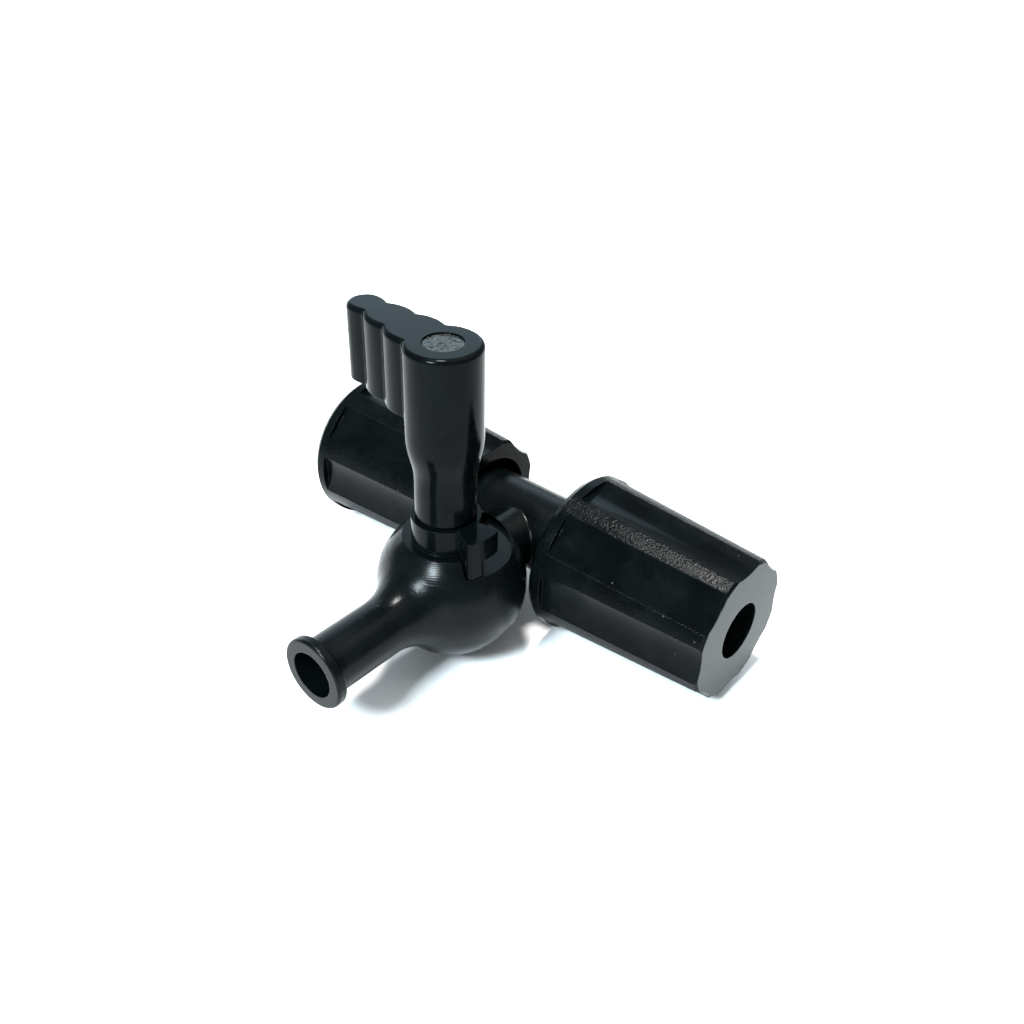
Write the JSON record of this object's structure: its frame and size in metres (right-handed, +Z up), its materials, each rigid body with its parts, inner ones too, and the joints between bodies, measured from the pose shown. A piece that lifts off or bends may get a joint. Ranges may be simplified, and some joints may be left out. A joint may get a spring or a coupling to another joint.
{
  "type": "branch shut-off valve",
  "caption": "Small moulded-plastic branch valve: tee run with compression nut and swivel nut, round ball chamber with hose spigot, and fluted quarter-turn lever.",
  "frame": {"origin": "centre of the hose spigot's open end", "axes": "-Y out of the spigot along the flow axis, +X along the run towards the compression nut, +Z up along the stem"},
  "size_m": [0.0562, 0.0435, 0.0386],
  "materials": {
    "body_plastic": "black glass-filled plastic, fine spark-eroded grain, semi-gloss",
    "nut_plastic": "black plastic, smooth flats and grained lands",
    "lever_plastic": "black plastic, smooth semi-gloss",
    "stem_plastic": "black plastic, rough where staked",
    "ball_plastic": "polished natural acetal",
    "seat_ptfe": "white, waxy",
    "seal_rubber": "black nitrile, matt",
    "grip_plastic": "natural acetal",
    "grip_steel": "stainless spring strip"
  },
  "bodies": {
    "tee": {"tee_body": "body_plastic", "valve_body": "body_plastic", "seat_front": "seat_ptfe", "seat_rear": "seat_ptfe", "plug_o_ring": "seal_rubber", "stem_o_ring_lower": "seal_rubber", "stem_o_ring_upper": "seal_rubber", "tube_o_ring": "seal_rubber", "swivel_washer": "seal_rubber"},
    "lever": {"handle": "lever_plastic", "stop_ring": "lever_plastic", "stem": "stem_plastic", "ball": "ball_plastic"},
    "grip_set": {"thrust_washer": "grip_plastic", "grip_ring": "grip_steel", "grip_cone": "grip_plastic"},
    "compression_nut": {"compression_nut": "nut_plastic"},
    "swivel_nut": {"swivel_nut": "nut_plastic"}
  },
  "joints": [
    {"name": "lever_turn", "type": "hinge", "parent": "tee", "child": "lever", "pos_m": [0, 0.0196, 0], "axis": [0, 0, 1], "range_deg": [0, 96.5]},
    {"name": "nut_travel", "type": "slide", "parent": "tee", "child": "grip_set", "axis": [1, 0, 0], "range_m": [0, 0.01058]},
    {"name": "nut_turn", "type": "hinge", "parent": "grip_set", "child": "compression_nut", "pos_m": [0.018, 0.0342, 0], "axis": [1, 0, 0], "range_deg": [0, 3601]},
    {"name": "swivel_turn", "type": "hinge", "parent": "tee", "child": "swivel_nut", "pos_m": [-0.0178, 0.0342, 0], "axis": [1, 0, 0], "continuous": true}
  ],
  "couplings": [
    {"joint": "nut_turn", "follows": "nut_travel", "rad_per_m": 5938.7}
  ]
}
